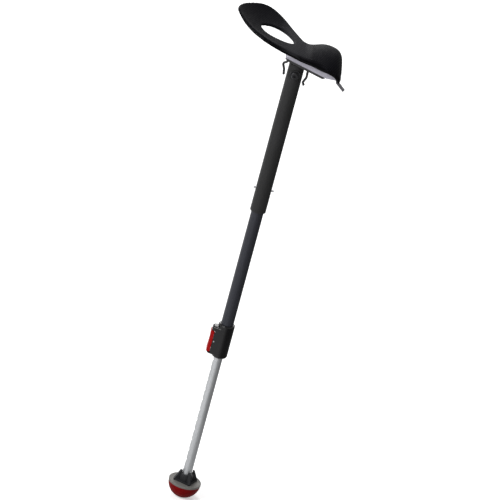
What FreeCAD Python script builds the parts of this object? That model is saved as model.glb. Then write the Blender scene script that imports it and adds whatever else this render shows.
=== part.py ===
import FreeCAD, Part
import math
import os
import re

import Sketcher

V = FreeCAD.Vector

# Perching stool: a tilting saddle on a three-part telescopic leg with a domed foot.
# +Z runs up the leg, +X to the front of the saddle, and the origin is where the foot meets the floor.

# Driving dimensions, in millimetres and degrees
sizes = {
    # leg tubes
    "upper_od": 28.0,
    "upper_wall": 1.5,
    "upper_length": 289.5,
    "middle_od": 22.0,
    "middle_wall": 1.5,
    "middle_length": 352.0,
    "lower_od": 16.0,
    "lower_wall": 2.0,
    "lower_length": 367.0,
    "lower_overlap": 102.0,
    # fits: radial clearance of running sleeves, of seated pieces and of screws in their holes
    "running_gap": 0.05,
    "seated_gap": 0.05,
    "screw_play": 0.2,
    # guide sleeves
    "bush_length": 25.0,
    "bush_flange": 1.5,
    "slider_length": 18.0,
    "slider_lip": 2.0,
    # sprung buttons that hold the middle tube
    "snap_rise": 41.0,
    "snap_to_top": 38.0,
    "stow_travel": 160.0,
    "slot_rise": 7.0,
    "button_diameter": 4.0,
    "button_proud": 4.0,
    "button_play": 0.3,
    "clip_strip": 0.8,
    "clip_width": 6.0,
    "clip_length": 34.0,
    "clip_inset": 0.8,
    # tilt joint at the top of the post
    "seat_pitch": 15.0,
    "stop_gap": 0.6,
    "head_depth": 27.0,
    "head_inset": 1.0,
    "bolt_diameter": 8.0,
    "bolt_head_diameter": 13.0,
    "bolt_head_height": 4.0,
    "bolt_socket": 5.0,
    "bolt_point": 1.5,
    "nut_flats": 13.0,
    "nut_height": 6.5,
    "washer_diameter": 18.0,
    "washer_thickness": 1.4,
    "tongue_thickness": 8.0,
    "tongue_half": 6.5,
    "tongue_play": 0.3,
    "eye_diameter": 18.0,
    "tilt_bush_wall": 2.0,
    # bracket plate, pan and their screws
    "plate_drop": 21.0,
    "plate_thickness": 2.5,
    "plate_rear": 30.0,
    "plate_front": 47.0,
    "plate_half": 20.0,
    "plate_corner": 3.0,
    "plate_lip": 1.4,
    "plate_lip_width": 4.7,
    "bracket_screw_diameter": 4.0,
    "bracket_screw_head": 8.0,
    "bracket_screw_head_height": 2.4,
    "bracket_screw_grip": 6.5,
    "bracket_screw_inset": 6.5,
    "bracket_screw_side": 10.8,
    "bracket_screw_rear": 17.0,
    "pan_rear": 31.0,
    "pan_front": 49.0,
    "pan_nose": 69.0,
    "pan_nose_rise": 6.5,
    "pan_rake": 20.0,
    "pan_half": 19.5,
    "pan_wall": 2.4,
    "pan_joint": 0.2,
    "boss_wall": 2.3,
    "shell_screw_diameter": 3.5,
    "shell_screw_head": 7.0,
    "shell_screw_head_height": 1.4,
    "shell_screw_grip": 9.0,
    "shell_screw_half_span": 9.0,
    "shell_screw_centre": 8.0,
    "shell_screw_side": 12.5,
    # saddle
    "pad_thickness": 5.0,
    "shell_thickness": 3.0,
    "pad_overhang": 0.8,
    "wing_start": -89.0,
    "wing_overhang": 9.0,
    "pad_edge": 1.8,
    "hole_centre": -60.5,
    "hole_length": 63.5,
    "hole_width": 42.5,
    "hole_setback": 7.5,
    "tab_width": 6.0,
    "tab_thickness": 4.2,
    "tab_reach": 18.5,
    "tab_slope": 26.0,
    "tab_side": 25.0,
    "tab_start": 59.0,
    "tab_edge": 69.5,
    "tab_gap": 0.45,
    # wire hooks
    "hook_wire": 4.2,
    "hook_side": 17.6,
    "hook_bend": 4.0,
    # index latch
    "housing_drop": 19.0,
    "housing_height": 64.5,
    "housing_wall": 3.3,
    "housing_top_round": 2.2,
    "housing_bottom_round": 5.0,
    "cheek_reach": 17.5,
    "cheek_half": 9.0,
    "cheek_bottom": 4.0,
    "cheek_top": 58.0,
    "cheek_top_round": 5.0,
    "cheek_bottom_round": 4.0,
    "cheek_corner": 5.5,
    "brow_reach": 23.4,
    "recess_rake": 1.1,
    "pocket_half": 6.4,
    "pocket_bottom": 7.0,
    "pocket_top": 49.8,
    "pocket_back": 12.3,
    "housing_bush_wall": 1.95,
    "housing_floor": 2.0,
    "rocker_pin_diameter": 3.0,
    "rocker_pin_reach": 15.4,
    "rocker_pin_level": 30.0,
    "rocker_pin_half": 10.3,
    "rocker_bottom": 9.0,
    "rocker_top": 48.0,
    "rocker_half": 8.6,
    "rocker_inner": 18.4,
    "rocker_outer": 24.6,
    "rocker_dip": 0.8,
    "rocker_gap": 0.4,
    "rocker_lug": 3.0,
    "tooth_level": 11.0,
    "tooth_height": 4.4,
    "tooth_width": 6.0,
    "tooth_gap": 0.35,
    "tooth_tang": 2.4,
    "tooth_tang_length": 3.0,
    "tooth_window_play": 1.4,
    "spring_level": 41.0,
    "spring_diameter": 5.0,
    "spring_wire": 0.7,
    "spring_turns": 4.0,
    "grub_diameter": 4.0,
    "grub_low": 30.0,
    "grub_high": 50.0,
    # notches of the lower tube
    "notch_start": 37.0,
    "notch_pitch": 20.0,
    "notch_radius": 5.5,
    "notch_depth": 1.4,
    "notch_count": 14,
    # foot
    "foot_radius": 28.4,
    "foot_flat_radius": 6.0,
    "plate_level": 27.0,
    "foot_plate_thickness": 3.5,
    "foot_plate_diameter": 57.4,
    "hub_floor": 2.5,
    "hub_height": 14.0,
    "hub_wall": 4.0,
    "fin_reach": 21.5,
    "fin_foot": 3.0,
    "fin_rise": 20.5,
    "fin_tip": 12.8,
    "fin_tip_width": 2.4,
    "fin_thickness": 4.0,
    "fin_angle": 20.0,
    "fin_count": 4,
    "gusset_reach": 22.0,
    "foot_bolt_diameter": 8.0,
    "foot_bolt_head": 15.0,
    "foot_bolt_head_height": 5.0,
    "foot_bolt_grip": 16.0,
    "plug_length": 20.0,
    "hidden_recess": 0.5,
}

# Saddle cross-sections, evenly spaced so that the face through them stays smooth: distance forward of
# the pivot, half width, and the heights above the pan's underside of the centre line and of the two sides
saddle_sections = [
    (-156.0, 43.0, 43.1, 46.0),
    (-144.4, 43.0, 38.9, 43.5),
    (-132.8, 46.5, 34.8, 41.2),
    (-121.2, 56.0, 31.2, 40.9),
    (-109.6, 65.0, 28.2, 41.2),
    (-98.0, 69.5, 26.2, 40.4),
    (-86.4, 70.5, 25.4, 38.8),
    (-74.8, 70.5, 25.5, 37.3),
    (-63.2, 69.5, 26.2, 35.3),
    (-51.6, 65.5, 26.9, 32.1),
    (-40.0, 60.0, 27.3, 28.1),
    (-28.4, 53.0, 26.5, 24.4),
    (-16.8, 47.0, 24.0, 21.7),
    (-5.2, 43.5, 22.9, 20.3),
    (6.4, 44.5, 27.9, 19.7),
    (18.0, 49.5, 36.8, 20.6),
    (29.6, 52.0, 41.8, 24.9),
    (41.2, 52.0, 43.9, 26.2),
    (52.8, 50.5, 42.4, 22.8),
    (64.4, 47.0, 27.0, 19.1),
    (76.0, 44.0, 14.0, 12.0),
]
# Half of the saddle's plan outline, from the rear tip to the front
saddle_plan = [
    (-144.5, 0.0),
    (-134.5, 28.0),
    (-117.0, 49.5),
    (-92.0, 66.0),
    (-53.5, 60.0),
    (-18.0, 39.5),
    (4.0, 36.0),
    (32.0, 48.5),
    (54.0, 45.0),
    (68.5, 38.0),
    (70.5, 19.5),
    (71.0, 0.0),
]
# Centre lines of the wire hooks below the plate's lip, as distance from the pivot and height above it
hook_lines = {
    "front_hook": [(15.4, 18.2), (18.6, 8.0), (17.4, -3.2), (21.4, -7.4)],
    "rear_hook": [(-24.8, 17.6), (-30.0, 12.6), (-23.0, 3.4), (-18.8, -6.0)],
}

doc = FreeCAD.newDocument("PerchingStool")
sheet = doc.addObject("Spreadsheet::Sheet", "Sizes")
for row, (alias, number) in enumerate(sizes.items(), start=1):
    sheet.set(f"A{row}", alias)
    sheet.set(f"B{row}", str(number))
    sheet.setAlias(f"B{row}", alias)
doc.recompute()

nodes = {}


# Puts the sheet's name before each size in an expression
def bound(text):
    def named(word):
        return "Sizes." + word.group() if word.group() in sizes else word.group()

    return re.sub(r"[a-z]\w*", named, text)


def value(text):
    return float(sheet.evalExpression(bound(text)))


def bind(thing, prop, text):
    thing.setExpression(prop, bound(text))


turns = {
    "z": FreeCAD.Rotation(),
    "x": FreeCAD.Rotation(V(0, 1, 0), 90),
    "y": FreeCAD.Rotation(V(1, 0, 0), -90),
}


def place(thing, at, along="z"):
    thing.Placement = FreeCAD.Placement(V(0, 0, 0), turns[along])
    for letter, text in zip("xyz", at):
        bind(thing, f"Placement.Base.{letter}", text)
    return thing


def cylinder(name, radius, height, at=("0", "0", "0"), along="z"):
    thing = doc.addObject("Part::Cylinder", name)
    bind(thing, "Radius", radius)
    bind(thing, "Height", height)
    return place(thing, at, along)


def box(name, low, high):
    thing = doc.addObject("Part::Box", name)
    for prop, start, end in zip(("Length", "Width", "Height"), low, high):
        bind(thing, prop, f"({end}) - ({start})")
    return place(thing, low)


def hexagon(name, flats, height, at, along="z"):
    thing = doc.addObject("Part::Prism", name)
    thing.Polygon = 6
    bind(thing, "Circumradius", f"({flats}) / 2 / cos(30)")
    bind(thing, "Height", height)
    return place(thing, at, along)


def cut(name, base, *tools):
    tool = tools[0] if len(tools) == 1 else merge(name + "_cuts", *tools)
    thing = doc.addObject("Part::Cut", name)
    thing.Base = base
    thing.Tool = tool
    return thing


def merge(name, *things):
    thing = doc.addObject("Part::MultiFuse", name)
    thing.Shapes = list(things)
    return thing


def common(name, base, tool):
    thing = doc.addObject("Part::Common", name)
    thing.Base = base
    thing.Tool = tool
    return thing


def group(name, things):
    thing = doc.addObject("Part::Compound", name)
    thing.Links = things
    return thing


def solid_object(name, shape):
    thing = doc.addObject("Part::Feature", name)
    thing.Shape = shape
    return thing


# A closed sketch of straight lines on the body's own plane, each corner held by two sizes
def corner_sketch(body, plane, corners):
    sketch = body.newObject("Sketcher::SketchObject", body.Name + "_profile")
    support = [item for item in body.Origin.OriginFeatures if item.Role == plane][0]
    sketch.AttachmentSupport = [(support, "")]
    sketch.MapMode = "FlatFace"
    points = [V(value(across), value(up), 0) for across, up in corners]
    count = len(points)
    for index in range(count):
        sketch.addGeometry(Part.LineSegment(points[index], points[(index + 1) % count]), False)
    for index in range(count):
        sketch.addConstraint(Sketcher.Constraint("Coincident", index, 2, (index + 1) % count, 1))
    for index, (across, up) in enumerate(corners):
        if across == "0":
            sketch.addConstraint(Sketcher.Constraint("PointOnObject", index, 1, -2))
        else:
            rule = sketch.addConstraint(Sketcher.Constraint("DistanceX", -1, 1, index, 1, points[index].x))
            bind(sketch, f"Constraints[{rule}]", across)
        rule = sketch.addConstraint(Sketcher.Constraint("DistanceY", -1, 1, index, 1, points[index].y))
        bind(sketch, f"Constraints[{rule}]", up)
    return sketch


# A turned piece: corners are radius and height
def turned(name, corners, at=("0", "0", "0"), along="z"):
    body = doc.addObject("PartDesign::Body", name)
    sketch = corner_sketch(body, "XZ_Plane", corners)
    feature = body.newObject("PartDesign::Revolution", name + "_turn")
    feature.Profile = sketch
    feature.ReferenceAxis = (sketch, ["V_Axis"])
    feature.Angle = 360.0
    body.Tip = feature
    return place(body, at, along)


# A side profile in the XZ plane, as wide as the given size, centred on the plane
def slab(name, corners, width, at=("0", "0", "0")):
    body = doc.addObject("PartDesign::Body", name)
    sketch = corner_sketch(body, "XZ_Plane", corners)
    feature = body.newObject("PartDesign::Pad", name + "_pad")
    feature.Profile = sketch
    feature.SideType = "Symmetric"
    bind(feature, "Length", width)
    body.Tip = feature
    return place(body, at)


def tube(name, outer, inner, low, high):
    return turned(name, [(inner, low), (outer, low), (outer, high), (inner, high)])


def node(label, thing):
    thing.Label = label
    nodes[label] = thing
    return thing


# The saddle's pieces are drawn about the pivot and pitched together
def seat_node(label, thing):
    thing.Placement = FreeCAD.Placement(V(0, 0, 0), FreeCAD.Rotation(V(0, 1, 0), value("seat_pitch")))
    bind(thing, "Placement.Base.z", pivot_height)
    bind(thing, "Placement.Rotation.Angle", "seat_pitch")
    return node(label, thing)


# Levels and radii that several pieces share
tube_seat = "(plate_level + foot_plate_thickness + hub_floor)"
lower_top = f"({tube_seat} + lower_length)"
middle_bottom = f"({lower_top} - lower_overlap)"
housing_bottom = f"({middle_bottom} - housing_drop)"
middle_top = f"({middle_bottom} + middle_length)"
snap_level = f"({middle_top} - snap_to_top)"
upper_bottom = f"({snap_level} - snap_rise)"
upper_top = f"({upper_bottom} + upper_length)"
plate_lift = "((plate_drop - upper_od / 2 * sin(seat_pitch)) / cos(seat_pitch))"
pivot_height = f"({upper_top} + stop_gap - {plate_lift})"
upper_bore = "(upper_od / 2 - upper_wall)"
middle_bore = "(middle_od / 2 - middle_wall)"
lower_bore = "(lower_od / 2 - lower_wall)"
button_radius = "(button_diameter / 2)"
bolt_radius = "(bolt_diameter / 2)"
washer_face = "(upper_od / 2 + washer_thickness)"
pan_base = "(plate_drop + plate_thickness)"


# Post: outer tube with slots for the sprung buttons, in use and stowed, and a cross hole
def build_upper_tube():
    blank = tube("upper_tube_blank", "upper_od / 2", upper_bore, upper_bottom, upper_top)
    reach = "(upper_od / 2 + upper_wall)"
    half_slot = f"({button_radius} + button_play)"
    cuts = []
    for index, level in enumerate((snap_level, f"({snap_level} + stow_travel)")):
        low = (f"-{reach}", f"-{half_slot}", level)
        high = (reach, half_slot, f"{level} + slot_rise")
        cuts.append(box(f"button_slot_{index}", low, high))
        for end, rise in (("low", "0"), ("high", "slot_rise")):
            at = (f"-{reach}", "0", f"{level} + {rise}")
            cuts.append(cylinder(f"button_slot_{index}_{end}", half_slot, f"2 * {reach}", at, "x"))
    at = ("0", f"-{reach}", pivot_height)
    cuts.append(cylinder("upper_tube_bolt_hole", f"{bolt_radius} + screw_play", f"2 * {reach}", at, "y"))
    node("upper_tube", cut("upper_tube_cut", blank, *cuts))


# Forked plug in the top of the post; its slot takes the seat's tongue
def build_post_head():
    low = f"({pivot_height} - head_depth)"
    top = f"({upper_top} - head_inset)"
    radius = f"({upper_bore} - seated_gap)"
    blank = turned("post_head_blank", [("0", low), (radius, low), (radius, top), ("0", top)])
    half = "(tongue_thickness / 2 + tongue_play)"
    slot_floor = f"({pivot_height} - eye_diameter / 2 - tongue_play)"
    slot = box("post_head_slot", (f"-{upper_bore}", f"-{half}", slot_floor), (upper_bore, half, upper_top))
    at = ("0", f"-{upper_bore}", pivot_height)
    hole = cylinder("post_head_hole", f"{bolt_radius} + seated_gap", f"2 * {upper_bore}", at, "y")
    node("post_head", cut("post_head_cut", blank, slot, hole))


# Cross bolt, its nut, and two washers hollowed to sit on the tube
def build_pivot_bolt():
    tip = f"({washer_face} + nut_height + bolt_point)"
    corners = [
        ("0", f"-{washer_face} - bolt_head_height"),
        ("bolt_head_diameter / 2 - bolt_point", f"-{washer_face} - bolt_head_height"),
        ("bolt_head_diameter / 2", f"-{washer_face} - bolt_head_height + bolt_point"),
        ("bolt_head_diameter / 2", f"-{washer_face}"),
        (bolt_radius, f"-{washer_face}"),
        (bolt_radius, tip),
        ("0", tip),
    ]
    blank = turned("pivot_bolt_blank", corners, ("0", "0", pivot_height), "y")
    at = ("0", f"-{washer_face} - bolt_head_height", pivot_height)
    socket = hexagon("pivot_bolt_socket", "bolt_socket", "bolt_head_height - bolt_point", at, "y")
    node("pivot_bolt", cut("pivot_bolt_cut", blank, socket))

    at = ("0", washer_face, pivot_height)
    blank = hexagon("pivot_nut_blank", "nut_flats", "nut_height", at, "y")
    bore = cylinder("pivot_nut_bore", f"{bolt_radius} + seated_gap", "nut_height", at, "y")
    node("pivot_nut", cut("pivot_nut_cut", blank, bore))

    washers = []
    for side, start in (("near", f"-{washer_face}"), ("far", "0")):
        at = ("0", start, pivot_height)
        disc = cylinder(f"washer_{side}_disc", "washer_diameter / 2", washer_face, at, "y")
        bore = cylinder(f"washer_{side}_bore", f"{bolt_radius} + screw_play", washer_face, at, "y")
        at = ("0", "0", f"{pivot_height} - washer_diameter")
        hollow = cylinder(f"washer_{side}_hollow", "upper_od / 2 + seated_gap", "2 * washer_diameter", at)
        washers.append(cut(f"washer_{side}", disc, bore, hollow))
    node("saddle_washers", group("washer_pair", washers))


# Guide sleeves: one in the post's lower end, one on top of each inner tube
def build_sleeves():
    outer = f"({upper_bore} - seated_gap)"
    inner = "(middle_od / 2 + running_gap)"
    corners = [
        (inner, f"{upper_bottom} - bush_flange"),
        ("upper_od / 2", f"{upper_bottom} - bush_flange"),
        ("upper_od / 2", upper_bottom),
        (outer, upper_bottom),
        (outer, f"{upper_bottom} + bush_length"),
        (inner, f"{upper_bottom} + bush_length"),
    ]
    node("post_bush", turned("post_bush_turned", corners))

    for label, bore, tube_radius, tube_bore, top in (
        ("middle_slider", upper_bore, "middle_od / 2", middle_bore, middle_top),
        ("lower_slider", middle_bore, "lower_od / 2", lower_bore, lower_top),
    ):
        outer = f"({bore} - running_gap)"
        inner = f"({tube_radius} + seated_gap)"
        corners = [
            (inner, f"{top} - slider_length"),
            (outer, f"{top} - slider_length"),
            (outer, f"{top} + slider_lip"),
            (tube_bore, f"{top} + slider_lip"),
            (tube_bore, top),
            (inner, top),
        ]
        node(label, turned(label + "_turned", corners))


# Middle tube and the one-piece sprung clip whose buttons come out through both tubes
def build_middle_tube():
    blank = tube("middle_tube_blank", "middle_od / 2", middle_bore, middle_bottom, middle_top)
    at = ("-middle_od", "0", snap_level)
    hole = cylinder("middle_tube_hole", f"{button_radius} + button_play", "2 * middle_od", at, "x")
    node("middle_tube", cut("middle_tube_cut", blank, hole))

    leg = f"({middle_bore} - clip_inset)"
    bend_level = f"({snap_level} - clip_length)"
    strips = []
    for side, start in (("rear", f"-{leg}"), ("front", f"{leg} - clip_strip")):
        low = (start, "-clip_width / 2", bend_level)
        high = (f"{start} + clip_strip", "clip_width / 2", f"{snap_level} + button_diameter")
        strips.append(box(f"clip_{side}_leg", low, high))
        reach = "(upper_od / 2 + button_proud)"
        start = f"-{reach}" if side == "rear" else f"{leg} - clip_strip"
        length = f"{reach} - {leg} + clip_strip"
        strips.append(cylinder(f"clip_{side}_button", button_radius, length, (start, "0", snap_level), "x"))
    at = ("0", "-clip_width / 2", bend_level)
    outer = cylinder("clip_bend_outer", leg, "clip_width", at, "y")
    inner = cylinder("clip_bend_inner", f"{leg} - clip_strip", "clip_width", at, "y")
    upper_half = box(
        "clip_bend_upper",
        (f"-{leg}", "-clip_width / 2", bend_level),
        (leg, "clip_width / 2", f"{bend_level} + {leg}"),
    )
    strips.append(cut("clip_bend", outer, inner, upper_half))
    node("snap_button_clip", merge("snap_button_clip_strip", *strips))


# Lower tube with index notches along its rear side
def build_lower_tube():
    blank = tube("lower_tube_blank", "lower_od / 2", lower_bore, tube_seat, lower_top)
    notches = []
    for index in range(int(value("notch_count"))):
        level = f"{tube_seat} + notch_start + {index} * notch_pitch"
        at = ("-(lower_od / 2 + notch_radius - notch_depth)", "-lower_od / 2", level)
        notches.append(cylinder(f"notch_{index}", "notch_radius", "lower_od", at, "y"))
    node("lower_tube", cut("lower_tube_cut", blank, *notches))


# Foot: finned hub on the tube, disc, rubber dome, and the bolt and plug that hold them
def build_foot():
    hub_bottom = "(plate_level + foot_plate_thickness)"
    bore = "(lower_od / 2 + seated_gap)"
    outer = f"({bore} + hub_wall)"
    bolt_bore = "(foot_bolt_diameter / 2 + screw_play)"
    corners = [
        (bolt_bore, hub_bottom),
        (outer, hub_bottom),
        (outer, f"{hub_bottom} + hub_height"),
        (bore, f"{hub_bottom} + hub_height"),
        (bore, tube_seat),
        (bolt_bore, tube_seat),
    ]
    collar = turned("hub_collar", corners)
    fin_corners = [
        (f"{bore} + hub_wall / 2", hub_bottom),
        ("fin_reach", hub_bottom),
        ("fin_reach", f"{hub_bottom} + fin_foot"),
        ("fin_tip", f"{hub_bottom} + fin_rise"),
        ("fin_tip - fin_tip_width", f"{hub_bottom} + fin_rise"),
        (f"{bore} + hub_wall / 2", f"{hub_bottom} + hub_height - fin_foot"),
    ]
    fins = []
    for index in range(int(value("fin_count"))):
        fin = slab(f"hub_fin_{index}", fin_corners, "fin_thickness")
        fin.Placement = FreeCAD.Placement(V(0, 0, 0), FreeCAD.Rotation(V(0, 0, 1), value("fin_angle")))
        bind(fin, "Placement.Rotation.Angle", f"fin_angle + {index} * 360 / fin_count")
        fins.append(fin)
    gusset = doc.addObject("Part::Prism", "hub_gusset_blank")
    gusset.Polygon = int(value("fin_count"))
    gusset.Placement = FreeCAD.Placement(V(0, 0, 0), FreeCAD.Rotation(V(0, 0, 1), value("fin_angle")))
    bind(gusset, "Circumradius", "gusset_reach")
    bind(gusset, "Height", "fin_foot")
    bind(gusset, "Placement.Base.z", hub_bottom)
    bind(gusset, "Placement.Rotation.Angle", "fin_angle")
    core = cylinder("hub_gusset_core", f"{bore} + hub_wall / 2", "fin_foot", ("0", "0", hub_bottom))
    node("foot_hub", merge("foot_hub_whole", collar, cut("hub_gusset", gusset, core), *fins))

    radius = "(foot_plate_diameter / 2)"
    corners = [
        (bolt_bore, "plate_level"),
        (radius, "plate_level"),
        (radius, f"{hub_bottom} - hidden_recess"),
        (f"{radius} - hidden_recess", hub_bottom),
        (bolt_bore, hub_bottom),
    ]
    node("foot_plate", turned("foot_plate_turned", corners))

    ball = doc.addObject("Part::Sphere", "foot_ball")
    bind(ball, "Radius", "foot_radius")
    place(ball, ("0", "0", "sqrt(foot_radius^2 - foot_flat_radius^2)"))
    below = box(
        "foot_below_plate",
        ("-foot_radius", "-foot_radius", "0"),
        ("foot_radius", "foot_radius", "plate_level"),
    )
    dome = common("foot_dome_round", ball, below)
    head_low = "(plate_level - foot_bolt_head_height)"
    at = ("0", "0", f"{head_low} - hidden_recess")
    recess = cylinder("foot_dome_recess", "foot_bolt_head / 2 + screw_play", "plate_level", at)
    node("foot_dome", cut("foot_dome_cut", dome, recess))

    corners = [
        ("0", head_low),
        ("foot_bolt_head / 2", head_low),
        ("foot_bolt_head / 2", "plate_level"),
        ("foot_bolt_diameter / 2", "plate_level"),
        ("foot_bolt_diameter / 2", f"{tube_seat} + foot_bolt_grip"),
        ("0", f"{tube_seat} + foot_bolt_grip"),
    ]
    node("foot_bolt", turned("foot_bolt_turned", corners))

    plug_radius = f"({lower_bore} - seated_gap)"
    thread = "(foot_bolt_diameter / 2 + seated_gap)"
    corners = [
        (thread, tube_seat),
        (plug_radius, tube_seat),
        (plug_radius, f"{tube_seat} + plug_length"),
        ("0", f"{tube_seat} + plug_length"),
        ("0", f"{tube_seat} + foot_bolt_grip + hidden_recess"),
        (thread, f"{tube_seat} + foot_bolt_grip + hidden_recess"),
    ]
    node("tube_plug", turned("tube_plug_turned", corners))


# Index latch: housing on the middle tube, guide bush, rocker on its pin, tooth, spring, grub screws
def build_latch():
    def level(rise):
        return f"({housing_bottom} + {rise})"

    housing_radius = "(middle_od / 2 + housing_wall)"
    tube_face = "(middle_od / 2 + seated_gap)"
    bush_outer = "(lower_od / 2 + running_gap + housing_bush_wall)"
    bush_low = level("housing_floor")
    rod_bore = "(lower_od / 2 + screw_play)"
    whole = cut(
        "housing_bored",
        solid_object("housing_blank", housing_shape()),
        cylinder("housing_tube_bore", tube_face, "housing_height", ("0", "0", middle_bottom)),
        cylinder("housing_bush_bore", f"{bush_outer} + seated_gap", "housing_drop", ("0", "0", bush_low)),
        cylinder("housing_rod_bore", rod_bore, "housing_drop", ("0", "0", housing_bottom)),
    )
    recess = slab("rocker_recess", [
        ("-2 * brow_reach", level("pocket_bottom")),
        ("-cheek_reach", level("pocket_bottom")),
        ("-cheek_reach", level("rocker_pin_level")),
        ("-cheek_reach + recess_rake", level("pocket_top")),
        ("-2 * brow_reach", level("pocket_top")),
    ], "4 * cheek_half")
    window_half = "(tooth_width / 2 + seated_gap + rocker_gap)"
    window_low = level("tooth_level - tooth_height / 2 - tooth_window_play")
    window_high = level("tooth_level + tooth_height / 2 + rocker_gap")
    grub_radius = "(grub_diameter / 2)"
    window_from = ("-cheek_reach", f"-{window_half}", window_low)
    cuts = [
        recess,
        box("tooth_window", window_from, ("0", window_half, window_high)),
        box(
            "rocker_pocket",
            ("-brow_reach", "-pocket_half", level("pocket_bottom")),
            ("-pocket_back", "pocket_half", level("pocket_top")),
        ),
        cylinder(
            "rocker_pin_hole",
            "rocker_pin_diameter / 2 + seated_gap",
            "2 * rocker_pin_half",
            ("-rocker_pin_reach", "-rocker_pin_half", level("rocker_pin_level")),
            "y",
        ),
    ]
    grubs = []
    for name in ("grub_low", "grub_high"):
        at = ("0", tube_face, level(name))
        length = f"{housing_radius} - {tube_face}"
        cuts.append(cylinder(name + "_hole", f"{grub_radius} + seated_gap", "housing_wall", at, "y"))
        grub = cylinder(name + "_blank", grub_radius, length, at, "y")
        at = ("0", f"{tube_face} + {length} / 2", level(name))
        socket = hexagon(name + "_socket", grub_radius, length, at, "y")
        grubs.append(cut(name + "_cut", grub, socket))
    node("latch_housing", cut("latch_housing_cut", whole, *cuts))
    node("housing_screws", group("grub_pair", grubs))

    sleeve = tube("housing_bush_blank", bush_outer, "lower_od / 2 + running_gap", bush_low, middle_bottom)
    low = (f"-{bush_outer}", f"-{window_half}", window_low)
    window = box("housing_bush_window", low, ("0", window_half, window_high))
    node("housing_bush", cut("housing_bush_cut", sleeve, window))
    pin = cylinder(
        "rocker_pin_rod",
        "rocker_pin_diameter / 2",
        "2 * rocker_pin_half",
        ("-rocker_pin_reach", "-rocker_pin_half", level("rocker_pin_level")),
        "y",
    )
    node("rocker_pin", pin)

    lug_half = "(pocket_half - rocker_gap)"
    paddle = slab("rocker_paddle", [
        ("-rocker_inner", level("rocker_bottom")),
        ("-rocker_inner", level("rocker_top")),
        ("-rocker_outer + rocker_dip", level("rocker_top")),
        ("-rocker_outer", level("rocker_top - 2 * rocker_dip")),
        ("-rocker_outer + rocker_dip", level("rocker_pin_level")),
        ("-rocker_outer", level("rocker_bottom + 2 * rocker_dip")),
        ("-rocker_outer + rocker_dip", level("rocker_bottom")),
    ], "2 * rocker_half")
    lug_low = ("-rocker_inner", f"-{lug_half}", level("rocker_pin_level - rocker_lug"))
    lug_high = ("-rocker_pin_reach", lug_half, level("rocker_pin_level + rocker_lug"))
    at = ("-rocker_pin_reach", f"-{lug_half}", level("rocker_pin_level"))
    lug_round = cylinder("rocker_lug_round", "rocker_lug - rocker_gap", f"2 * {lug_half}", at, "y")
    rocker = merge("rocker_whole", paddle, box("rocker_lug_block", lug_low, lug_high), lug_round)
    pin_bore = cylinder("rocker_bore", "rocker_pin_diameter / 2 + running_gap", f"2 * {lug_half}", at, "y")
    tang_radius = "(tooth_tang / 2)"
    tang_at = ("-rocker_inner - tooth_tang_length", "0", level("tooth_level"))
    tang_bore = f"{tang_radius} + seated_gap"
    tang_hole = cylinder("rocker_tang_hole", tang_bore, "tooth_tang_length", tang_at, "x")
    node("latch_rocker", cut("latch_rocker_cut", rocker, pin_bore, tang_hole))

    tip = "(lower_od / 2 + tooth_gap)"
    half = "(tooth_height / 2)"
    block = slab("tooth_block", [
        ("-rocker_inner", level(f"tooth_level - {half}")),
        (f"-{tip} - {half}", level(f"tooth_level - {half}")),
        (f"-{tip}", level(f"tooth_level - {half} / 2")),
        (f"-{tip}", level(f"tooth_level + {half} / 2")),
        (f"-{tip} - {half}", level(f"tooth_level + {half}")),
        ("-rocker_inner", level(f"tooth_level + {half}")),
    ], "tooth_width")
    tang = cylinder("tooth_tang_rod", tang_radius, "tooth_tang_length", tang_at, "x")
    node("latch_tooth", merge("latch_tooth_whole", block, tang))

    node("latch_spring", solid_object("latch_spring_wire", coil_shape()))
    nodes["latch_spring"].Placement = FreeCAD.Placement(
        V(-value("rocker_inner"), 0, value(level("spring_level"))), turns["x"]
    )


# Housing outside: a round barrel whose sides run tangent into a narrower rear block, edges rounded
def housing_shape():
    radius = value("middle_od / 2 + housing_wall")
    corner = value("cheek_corner")
    centre = V(corner - value("brow_reach"), value("cheek_half") - corner, 0)
    lean = math.atan2(centre.y, centre.x) - math.acos((radius - corner) / centre.Length)
    outward = V(math.cos(lean), math.sin(lean), 0)
    flip = lambda point: V(point.x, -point.y, 0)
    on_barrel = outward * radius
    on_corner = centre + outward * corner
    corner_mid = centre + (outward + V(-1, 0, 0)).normalize() * corner
    corner_end = centre + V(-corner, 0, 0)
    outline = Part.Wire([
        Part.Arc(flip(on_barrel), V(radius, 0, 0), on_barrel).toShape(),
        Part.makeLine(on_barrel, on_corner),
        Part.Arc(on_corner, corner_mid, corner_end).toShape(),
        Part.makeLine(corner_end, flip(corner_end)),
        Part.Arc(flip(corner_end), flip(corner_mid), flip(on_corner)).toShape(),
        Part.makeLine(flip(on_corner), flip(on_barrel)),
    ])
    height = value("cheek_top - cheek_bottom")
    block = Part.Face(outline).extrude(V(0, 0, height))
    block.translate(V(0, 0, value("cheek_bottom")))
    barrel = Part.makeCylinder(radius, value("housing_height"))
    turns = (
        (block, value("cheek_top_round"), value("cheek_bottom_round")),
        (barrel, value("housing_top_round"), value("housing_bottom_round")),
    )
    rounded = []
    for piece, top_round, bottom_round in turns:
        low = piece.BoundBox.ZMin
        high = piece.BoundBox.ZMax
        flat = [edge for edge in piece.Edges if edge.BoundBox.ZLength < top_round / 2]
        bottom = [edge for edge in flat if edge.BoundBox.ZMax < (low + high) / 2]
        piece = piece.makeFillet(bottom_round, bottom)
        top = [edge for edge in piece.Edges if edge.BoundBox.ZMin > high - top_round / 2]
        rounded.append(piece.makeFillet(top_round, top))
    shape = rounded[0].fuse(rounded[1]).Solids[0]
    shape.translate(V(0, 0, value(housing_bottom)))
    return shape


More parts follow.
